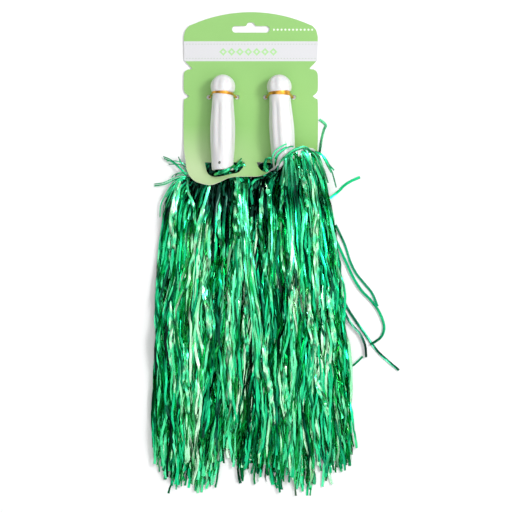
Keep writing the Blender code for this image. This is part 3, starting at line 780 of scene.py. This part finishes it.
def sinking(x, y, ragged):
    """How deep in a hollow each place is, from 0 to 1."""
    sunk = np.zeros_like(y)
    for start_x, end_x, end_y in HOLLOWS:
        sunk = np.maximum(sunk, ease((x - start_x) / 3) * ease((end_x - x) / 3)
                          * ease((y - end_y + 16 + ragged) / 22))
    return sunk


def skirt_strands(side, seed, count, lateral, depth, clumps):
    """Centre lines in metres of strands from the mouth to their tips; lateral and depth are shares."""
    rng = np.random.default_rng(seed)
    direction, borders = SIDES[side], SKIRT_WIDTHS[side]
    m = np.array(mouth(side)) / MM
    each = (count, 1)
    span = lateral[1] - lateral[0]
    guides = lateral[0] + span * (np.arange(clumps) + rng.uniform(0.15, 0.85, clumps)) / clumps
    which = rng.integers(0, clumps, count)
    astray = rng.random(count) < (0.30 if lateral[1] > 0.9 else 0.14)
    share = guides[which] + rng.normal(0, 1, count) * np.where(astray, 0.05, 0.017)
    share = np.clip(share, lateral[0] - 0.03, lateral[1] + 0.03)
    rise = 0.7 * rng.random(clumps)[which] + rng.uniform(0, 0.3, count)
    level = depth[0] + (depth[1] - depth[0]) * np.clip(rise, 0, 1)
    at_side = lateral[1] > 1
    guide_drift = rng.normal(0, 1.5 if at_side else 3.5, clumps)[which]
    tilt = np.clip(rng.normal(0, 0.016 if at_side else 0.028, count), -0.05, 0.05)
    near, far = (reading(borders, -350, column) for column in (1, 2))
    foot = direction * (near + share * (far - near)) + guide_drift + 230 * tilt
    shorter = rng.triangular(0, 9, 54, count)
    shorter = np.where(rng.random(count) < 0.12, rng.uniform(20, 110, count), shorter)
    longest = np.interp(foot, *zip(*TIP_LINE))
    tip = longest + rng.normal(0, 4, clumps)[which] + rng.normal(0, 3, count) + shorter
    tip = np.clip(tip, -372, -230)
    guide_phase = rng.uniform(0, math.tau, (clumps, 3))[which]
    lines = np.array([smooth_path(skirt_keys(rng, side, m, *place), SKIRT_STATIONS)
                      for place in zip(share, level, tip)])

    x, y, z = np.moveaxis(lines, 2, 0)
    down = -y
    free = ease((down - 100) / 90)
    x += free * (guide_drift[:, None] * ease((down - 130) / 200)
                 + 2.2 * np.sin(down / 33 + guide_phase[:, :1]) + np.sin(down / 14 + guide_phase[:, 1:2]))
    for wave, size in ((150, 2.5), (62, 1.0), (27, 0.42), (12, 0.20)):
        for moved, part in ((x, 1.0), (z, 0.7)):
            waves = wave * rng.uniform(0.7, 1.4, each)
            phase = rng.uniform(0, math.tau, each)
            shape = np.sin if wave > 50 else zigzag
            moved += size * part * free * shape(math.tau * down / waves + phase)
    x += tilt[:, None] * np.clip(down - 115, 0, None)
    edge = reading(borders, y, 2) + EDGE_SLACK[side]
    past = np.clip(direction * x - edge, 0, None) * ease((down - 106) / 20)
    x -= direction * 0.65 * past

    sunk = sinking(x + rng.normal(0, 2, each), y, rng.normal(0, 12, each)) * (rng.random(each) > 0.03)
    low = GROUND + 0.6
    z[:] = low + (z - low) * (1 - 0.85 * sunk)
    under = (y > -100) & (y < -86) & (np.abs(x) < 60) & ((side == "left") | (x < 14))
    z[:] = np.where(under, np.minimum(z, card_height(y) - 1.3), z)

    flat = rng.random(clumps) < 0.40  # its strands lie side by side and shine together
    lean = (rng.normal(0, np.where(flat, 0.22, 0.6))[which]
            + rng.normal(0, 1, count) * np.where(flat[which], 0.24, 0.60))
    step = np.abs(np.diff(y, axis=1)).mean()
    turns = strand_turns(rng, lean, np.where(flat[which], 0.45, 1.0), SKIRT_STATIONS, step * MM)
    turns = turns * (0.4 + 0.6 * ease((down - 84) / 20))
    widths = STRAND_WIDTH * rng.uniform(0.88, 1.1, count)
    # painted highlight: some clumps get a lighter tone and long painted bright streaks, the others painted
    # dark streaks
    painted_highlight_clump = rng.random(clumps) < 0.42
    clump_tone = np.where(painted_highlight_clump, 0.08, -0.05) + rng.normal(0, 0.09, clumps)
    painted_streak_at = rng.uniform(-320, -110, clumps)[which][:, None] + rng.normal(0, 14, each)
    painted_streak = np.exp(-((y - painted_streak_at) / rng.uniform(14, 34, each)) ** 2) * (level[:, None] > 0.35)
    tones = rng.normal(0.55, 0.16, count) + clump_tone[which]
    tones = np.where(rng.random(count) < 0.08, 0.90, tones)[:, None]  # some strands painted pale, as painted highlight
    tones = tones + np.where(painted_highlight_clump[which][:, None], 0.42, -0.22) * painted_streak
    # painted light: the tinsel is painted lighter towards its tips; painted shade: strands in the hollows
    # are painted dark
    tones = (tones + 0.06 * ease((down - 260) / 50)) * (1 - 0.95 * sunk)
    # painted shade: the lowest strands and those just below the card's lower edge are painted darker
    painted_depth_shade = (1 - ease(level / 0.55))[:, None] * (0.4 + 0.6 * ease((y + 190) / 60))
    painted_card_shade = ease((y + 138) / 34) * ease((x + 60) / 8) * ease((46 - x) / 12)
    return lines * MM, turns, widths, np.clip(tones - 0.44 * painted_depth_shade - 0.32 * painted_card_shade, 0, 1)


FREE_STATIONS = 44
TUFTS = [
    # part, child body, count, lateral share, depth share, clumps
    ("skirt_back", "skirt", 165, (0.02, 0.88), (0.00, 0.40), 14),
    ("skirt_front", "skirt", 170, (0.42, 0.88), (0.36, 1.00), 10),
    ("skirt_inner", "skirt", 170, (0.00, 0.44), (0.36, 1.00), 10),
    ("outer_lock", "lock", 62, (0.86, 1.02), (0.00, 1.00), 6),
]


def skirts():
    """Both poms' hanging tinsel, tuft by tuft."""
    for side in SIDES:
        for number, (part, child, *amounts) in enumerate(TUFTS):
            seed = 100 * (side == "right") + 7 * number + 3
            made = ribbons(f"{side}_{part}_strands", *skirt_strands(side, seed, *amounts))
            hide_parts(f"{side}_{part}")
            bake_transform(made)


# Locks that lie on top, painted pale as painted highlight: strands, half width, tone, and X, Y and height
PALE_LOCKS = {
    "left": [
        (3, 0.9, 0.94, [(-36, -88, 11), (-38, -100, 16), (-44, -126, 18.5), (-51, -160, 18.5),
                        (-58, -198, 17)]),
        (2, 0.6, 0.85, [(-56, -90, 9), (-55, -102, 14), (-50, -118, 17), (-47, -150, 16)]),
        (2, 0.7, 0.80, [(-30, -118, 3), (-28, -130, 12), (-27, -150, 17), (-24, -185, 17)]),
        (3, 1.2, 0.94, [(-22, -182, 14), (-21, -196, 19), (-20, -235, 18.5), (-19, -270, 17),
                        (-20, -298, 13)]),
        (5, 1.6, 0.86, [(-12, -88, 12), (-12, -98, 16), (-11, -120, 19), (-10, -150, 18)]),
        (4, 1.4, 0.84, [(-58, -236, 14), (-57, -252, 18), (-55, -282, 17), (-50, -320, 12)]),
        (6, 2.4, 0.90, [(-62, -94, 8), (-66, -104, 12), (-69, -122, 15), (-71, -150, 14), (-73, -180, 12)]),
        (3, 1.2, 0.90, [(-70, -190, 10), (-70, -206, 15), (-70, -240, 15), (-69, -270, 13)]),
        (3, 1.0, 0.90, [(-42, -178, 14), (-40, -196, 19), (-36, -230, 18.5), (-36, -262, 16)]),
    ],
    "right": [
        (14, 3.2, 0.80, [(-6, -89, 6), (-6, -94, 10.5), (-6, -100, 16), (-5.5, -120, 19), (-1, -170, 19.5),
                         (3, -198, 19.5), (7, -235, 19), (10, -272, 17.5), (15, -314, 12)]),
        (3, 0.8, 0.84, [(-4, -196, 14), (-4, -214, 19), (-3.6, -252, 18.5), (-3, -290, 14)]),
        (7, 1.8, 0.92, [(47, -74, 24), (51, -82, 25), (54, -94, 24), (57, -118, 21), (56, -150, 19.5),
                        (58, -190, 19), (60, -226, 17)]),
        (3, 0.7, 0.92, [(38, -75, 27), (41.5, -81, 28), (45, -91, 26), (48, -101, 22), (50, -122, 19)]),
        (2, 0.7, 0.80, [(36, -77, 27), (32.5, -83, 28), (29, -92, 26), (27, -110, 21), (26, -135, 18)]),
        (2, 0.6, 0.90, [(15, -90, 13), (14.6, -96, 18), (16, -106, 18), (16, -130, 17)]),
        (3, 0.9, 0.82, [(10, -92, 9), (9, -104, 14), (9, -124, 17), (11, -160, 18), (14, -200, 17)]),
        (5, 1.6, 0.94, [(49, -184, 14), (50, -198, 19.5), (54, -230, 18.5), (57, -256, 15)]),
        (3, 1.1, 0.92, [(66, -180, 10), (69, -200, 16), (73, -226, 14), (75, -250, 11)]),
        (4, 1.5, 0.92, [(56, -258, 12), (60, -276, 16.5), (68, -298, 12), (75, -322, 7)]),
        (4, 1.4, 0.94, [(10, -228, 14), (12, -248, 18.5), (16, -282, 17), (20, -322, 12)]),
        (3, 1.1, 0.84, [(32, -150, 14), (33, -166, 19.5), (35, -200, 19), (34, -240, 17)]),
        (3, 1.2, 0.86, [(28, -240, 14), (30, -258, 18), (32, -292, 16), (36, -326, 10)]),
    ],
}


def pale_locks():
    for side, locks in PALE_LOCKS.items():
        rng = np.random.default_rng(31 + (side == "right"))
        routes, tones = [], []
        for count, half, tone, route in locks:
            route = smooth_path(route, 40)
            for _ in range(2 * count):
                first = rng.integers(0, 20) * (rng.random() > 0.35)
                last = min(40, first + rng.integers(15, 27))
                offset = np.array((rng.normal(0, 0.7 * half), 0, rng.uniform(-1.5, 0.6)))
                strand = (route + np.linspace(0.6, 1.6, 40)[:, None] * offset)[first:last]
                share = np.linspace(0, 1, len(strand))
                dip = 7 * (1 - ease((1 - share) / 0.2)) + 5 * (1 - ease(share / 0.15)) * (first > 0)
                strand[:, 2] = np.maximum(strand[:, 2] - dip, 1)
                wander = rng.uniform(0.3, 1.0)
                strand[:, 0] += wander * np.sin(math.tau * (share * rng.uniform(1, 2.4) + rng.random()))
                routes.append(strand)
                along = np.linspace(0, 1, FREE_STATIONS)
                # painted glints: the tone rises and falls along each pale strand
                painted_glint = zigzag(math.tau * (along * rng.uniform(2, 5) + rng.random()))
                tones.append(tone - 0.09 + rng.normal(0, 0.05) + 0.13 * painted_glint)
        made = free_strands(f"{side}_pale_locks", routes, rng, 0.9, STRAND_WIDTH, tones)
        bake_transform(made)


def free_strands(name, routes, rng, crinkle, width, tones):
    """Strands along routes in mm: X, Y and height above the floor."""
    count = len(routes)
    lines = np.array([smooth_path(mm(route) + (0, 0, FLOOR), FREE_STATIONS) for route in routes])
    step = np.linalg.norm(np.diff(lines, axis=1), axis=2).mean()
    turns = strand_turns(rng, rng.normal(0, 0.35, count), np.full(count, crinkle), FREE_STATIONS, step)
    return ribbons(name, lines, turns, width * rng.uniform(0.85, 1.1, count), np.clip(tones, 0, 1))


def loose_ribbons(name, routes, body, replaced, seed, crinkle=1.0, width=STRAND_WIDTH, tone=0.6):
    """Strands that ride on one body."""
    rng = np.random.default_rng(seed)
    made = free_strands(name, routes, rng, crinkle, width, rng.normal(tone, 0.13, len(routes)))
    for node in replaced:
        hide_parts(node)
    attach(made, body)
    return made


# Single strands on the right: body, height, tone, and X and Y along it
STRAYS = {
    "upper_curl": ("pom", 1.4, 0.95, [
        (60.0, -74), (61.4, -65), (62.6, -57), (64.6, -48.6), (66.4, -44.6), (64.0, -41.6), (60.6, -39.2)]),
    "shoulder": ("pom", 1.0, 0.60, [(77.4, -103), (80, -100.4), (83, -97.4), (89, -93.6), (96.7, -90.2)]),
    "long": ("lock", 1.0, 0.16, [
        (84.9, -205), (92, -216.4), (99, -226), (106, -236), (113, -245), (122, -253.4), (131.2, -261)]),
    "hook": ("lock", 2.4, 0.33, [
        (83.4, -163.6), (90, -178), (97.6, -190.2), (106, -199), (113.6, -209.6), (117.9, -222),
        (115.7, -231), (109, -236.4), (105.5, -238)]),
    "side": ("lock", 1.2, 0.11, [
        (83, -149.6), (88, -165), (93.6, -176), (100.6, -184.6), (107.3, -193), (112.2, -204.4)]),
    "short": ("lock", 3.4, 0.20, [
        (85.2, -214.4), (90.4, -222), (96.6, -229), (101, -238.9), (102, -249.6)]),
    "low": ("lock", 1.2, 0.47, [(86.8, -256.6), (90.2, -257), (96, -252), (99, -248.8)]),
}


def strays():
    """Single strands, too narrow to be sheets of their own, so they go with the tufts they leave."""
    made = {"pom": [], "lock": []}
    for number, (name, (part, height, tone, route)) in enumerate(STRAYS.items()):
        points = [(x, y, height) for x, y in route]
        if part == "lock":  # it leaves the skirt from a little way inside it
            points.insert(0, (route[0][0] - 8, route[0][1] + 17, height + 2))
        elif name == "shoulder":
            points.insert(0, (70, -109, 4))
        node = f"right_stray_{name}"
        width = STRAND_WIDTH * (1.3 if name == "upper_curl" else 1)
        strand = loose_ribbons(f"{node}_strand", [points], f"right_{part}", [node], 40 + number, 0.35,
                               width, tone)
        made[part].append(strand)
    return made


LEFT_WISPS = [
    [(-56, -87, 5), (-62, -81, 6), (-68, -76, 4), (-75, -72.8, 2)],
    [(-56, -84, 4), (-64, -80.5, 5), (-74, -80, 3)],
    [(-56, -85, 4), (-61, -78, 6), (-63, -73, 4)],
    [(-55, -91, 5), (-63, -88.5, 7), (-71, -91, 5), (-80, -95, 3), (-90, -96.5, 1)],
    [(-55, -92, 6), (-63, -93, 8), (-71, -100, 6), (-77, -109, 3)],
    [(-55, -92, 6), (-61, -90, 8), (-68, -94, 8), (-74, -103, 6), (-79, -113, 4), (-80, -124, 3)],
    [(-55, -88, 5), (-61, -86, 6), (-67, -87, 5), (-70, -90, 3)],
    [(-55, -93, 6), (-60, -92, 8), (-65, -96, 8), (-70, -106, 7), (-75, -118, 6)],
    [(-55, -92, 7), (-59, -90, 9), (-64, -93, 9), (-67, -101, 8), (-69, -114, 8)],
]


def shoulders():
    """The tinsel that fans out beside the card's lower corners."""
    rng = np.random.default_rng(61)
    routes = []
    for places in map(np.array, LEFT_WISPS):
        for _ in range(2):
            shift = rng.normal(0, 1.5, 3) * (1, 1, 0.4)
            routes.append(places[0] + (places - places[0]) * rng.uniform(0.85, 1.05) + shift)
    made = loose_ribbons("left_shoulder_strands", routes, "left_pom", ["left_shoulder_tuft"], 61, 0.6,
                         1.0 * MM)

    rng = np.random.default_rng(62)
    routes = []
    for _ in range(30):
        reach, rise = rng.random(), rng.random()
        start = (48 + 8 * rise, -86 + 10 * reach, 10 + 10 * rise)
        crest = (53 + 7 * rise, -84 + 11 * reach, 8 + 9 * reach)
        end = (58 + 9 * rise, -104 - 6 * rise, 2 + 3 * reach)
        routes.append(np.array((start, crest, end)) + rng.normal(0, 1.3, (3, 3)) * (1, 1, 0.3))
    made = loose_ribbons("right_shoulder_strands", routes, "right_pom", ["right_shoulder_tuft"], 62, 0.8,
                         1.7 * MM)


def roots():
    """The folded bundle inside each mouth, and its dive through the D slot and along below it."""
    for side, seed in (("left", 71), ("right", 72)):
        rng = np.random.default_rng(seed)
        matrix, x = pom_axis(side), mouth(side).x / MM
        right = side == "right"
        routes = []

        def in_handle(radius, angle, station):
            across = Vector((radius * math.cos(angle), radius * math.sin(angle), TIE_STATION - station))
            place = matrix @ across / MM
            return place.x, place.y, place.z - GROUND

        for _ in range(60):
            angle, radius = rng.uniform(0, math.tau), 4.4 * math.sqrt(rng.random()) * MM
            away = rng.uniform(-1, 1)
            drop = rng.uniform(1.5, 8)
            routes.append([
                in_handle(radius, angle, 66 * MM),
                in_handle(1.45 * radius, angle, HANDLE_LENGTH - 1.5 * MM),
                (x + 9 * away, -87.0 + 1.5 * abs(away), drop + (6 if right else 2)),
                (x + 17 * away, -93, drop),
                (x + 24 * away, rng.uniform(-124, -99), drop),
            ])
        for _ in range(84):
            away = rng.choice((-1, 1)) * rng.uniform(0.15, 1.1) * (1.25 if right else 1.05)
            low = rng.uniform(1.0, 4.4)
            routes.append([
                (x + 3 * away, -76 + rng.uniform(-1.5, 1.5), low),
                (x + 11 * away, -77 + rng.uniform(-2, 2.5), low),
                (x + 17.5 * away + rng.normal(0, 0.8), -82 + rng.uniform(-3, 3), low + 0.5),
                (x + 21 * away, -92, low + 1.5),
                (x + 25 * away, rng.uniform(-126, -98), low + 2.5),
            ])
        for _ in range(18):  # towards the other pom, below the middle of the card
            low = rng.uniform(0.8, 3.5)
            inward = -SIDES[side] * rng.uniform(0.75, 0.95)
            rows = [(4, -84, 0), (14, -86, 0), (22, -91, 0), (26, -97, 1), (27, rng.uniform(-114, -101), 1)]
            routes.append([(x + reach * inward, y, low + rise) for reach, y, rise in rows])
        # painted shade: the root strands are painted dark, as shade in the mouths and below the card's edge
        made = loose_ribbons(f"{side}_root_strands", routes, f"{side}_pom", [f"{side}_tinsel_root"], seed,
                             tone=0.10)


# Curls that have sprung up out of the slots, over a mouth's lip or the card
CURLS = {
    "left": [
        (4, 1.0, [(-33, -88, 17), (-30, -87.4, 23), (-25, -86.4, 26.8), (-20, -84.2, 26.8),
                  (-15.5, -81.5, 20), (-11, -79, 12), (-8, -77.2, 9.6)]),
        (5, 1.3, [(-20, -87, 12), (-16.5, -83.5, 13), (-12.5, -80.6, 11.5), (-8.5, -78, 9.4),
                  (-6.6, -80, 8.8), (-9, -83.4, 8.5)]),
        (4, 0.8, [(-14, -86, 8), (-12, -82, 10.5), (-9.5, -78, 10), (-7.5, -75.5, 8), (-6.2, -77.5, 7.8)]),
    ],
    "right": [
        (4, 0.5, [(20, -86, 11), (16, -84.5, 11.5), (13.2, -79.5, 10.5), (14.4, -74.6, 9), (17.4, -74.4, 9),
                  (18.8, -79, 10)]),
        (4, 0.6, [(17, -88, 12), (13.8, -84, 12), (12.6, -78, 9.5), (15, -73.6, 8.5)]),
        (4, 1.2, [(21, -84, 22), (21, -77, 27), (24.4, -69.6, 28.4), (34.4, -63.6, 29.4), (41, -65, 30.6),
                  (46, -71, 29)]),
        (4, 1.6, [(23, -86, 26), (26, -80, 31.5), (32, -73, 32.6), (40, -67.4, 32.6), (48, -66, 31),
                  (54, -72, 26), (57, -84, 20)]),
    ],
}


def strap_line(x):
    """Y and Z of the line under the right strap, in mm."""
    xs, ys, zs = zip(*STRAP_LINE)
    return np.interp(x, xs, ys), np.interp(x, xs, zs)


def fountain(rng):
    """Curls that well up from under the right strap and fall outward over the skirt."""
    routes = []
    for _ in range(64):
        x = rng.uniform(31, 57)
        y, z = strap_line(x)
        z -= GROUND
        fan = np.clip((x - 40) / 13 + rng.normal(0, 0.8), -1.6, 2.4)
        rise, fall = rng.random(2)
        routes.append([
            (x - 1.5 * fan, y - 5, z - 1.5),
            (x, y + 1.2 + 2.4 * rise, z + 3.0),
            (x + 3.5 * fan, y - 0.6 + 2.0 * rise, z + 4.4),
            (x + 6.5 * fan, y - 5 - 4 * fall - 1.6 * abs(fan), z + 2.6),
            (x + 8.5 * fan, y - 13 - 15 * fall, z - 2.5 - 4 * fall),
        ])
    return routes


def curls():
    for side, kinds in CURLS.items():
        rng = np.random.default_rng(81 + (side == "right"))
        routes = []
        for count, jitter, route in kinds:
            route = smooth_path(route, 24)
            for _ in range(count):
                first = rng.integers(0, 9)
                last = first + rng.integers(9, 16)
                shift = rng.normal(0, jitter, 3) * (1, 1, 0)
                shift[2] = abs(rng.normal(0, 0.5))
                routes.append(route[first:last] + shift)
        if side == "right":
            routes.extend(fountain(rng))
        made = loose_ribbons(f"{side}_sprung_curls", routes, f"{side}_pom", [], 91, 0.6, 1.4 * MM, 0.66)


# ---- build


def carried_over():
    """The small hard pieces whose CAD shape is right get their finish."""
    for side in SIDES:
        for part, material in (("retaining_pin", PIN_STEEL), ("root_binding", BINDING)):
            data = frame["nodes"][f"{side}_{part}"].data
            data.materials.clear()
            data.materials.append(material)


def key_light(aim):
    data = bpy.data.lights.new("key_light", "AREA")
    data.shape = "RECTANGLE"
    data.size = data.size_y = 0.36
    data.energy = 10
    light = add_object("key_light", data)
    light.location = aim + Vector((0.80, 0.45, 1.20))
    turn_to(light, aim - light.location, "-Z")


def room_light():
    """Soft light from overhead that falls off towards the horizon and is brighter on the key's side."""
    world = bpy.data.worlds.new("studio_world")
    world.use_nodes = True
    nodes = Nodes(world.node_tree)
    direction = nodes.node("TexCoord").outputs["Generated"]
    parts = nodes.node("SeparateXYZ", Vector=direction).outputs
    stops = [(0.0, 0.20), (0.5, 0.24), (0.72, 0.48), (0.87, 0.86), (0.96, 1.0), (1.0, 0.8)]
    sky = nodes.ramp(parts["Z"], [(place, (value,) * 3) for place, value in stops])
    # the room's ceiling and walls aren't all one brightness
    panels = nodes.node("MapRange", Value=nodes.noise(4.5, 1.0, direction), From_Min=0.38,
                        From_Max=0.62, To_Min=0.5, To_Max=3.3).outputs["Result"]
    lit = nodes.node("VectorMath", {"operation": "SCALE"}, Vector=sky, Scale=panels).outputs[0]
    background = nodes.tree.nodes["Background"].inputs
    nodes.feed(background["Color"], lit)
    nodes.feed(background["Strength"], nodes.math("MULTIPLY_ADD", parts["X"], 0.50, 0.80))
    bpy.context.scene.world = world


def camera(aim):
    field, distance = 0.453, 2.40
    data = bpy.data.cameras.new("camera")
    data.sensor_width = 36
    data.lens = data.sensor_width * distance / field
    bpy.context.scene.camera = add_object("camera", data)
    bpy.context.scene.camera.location = aim + Vector((0, 0, distance))


def studio():
    middle = Vector((0.0046, -0.160, 0))
    bpy.ops.mesh.primitive_plane_add(size=8, location=(0, 0, FLOOR - 0.05 * MM))
    floor = bpy.context.object
    floor.name = "studio_floor"
    floor.data.materials.append(WHITE_FLOOR)
    key_light(middle)
    room_light()
    camera(middle)
    bpy.context.scene.view_settings.view_transform = "Standard"


studio()
header_card()
for side in SIDES:
    handle(side)
    twist_tie(side)
carried_over()
loose = strays()
skirts()
pale_locks()
roots()
curls()
shoulders()
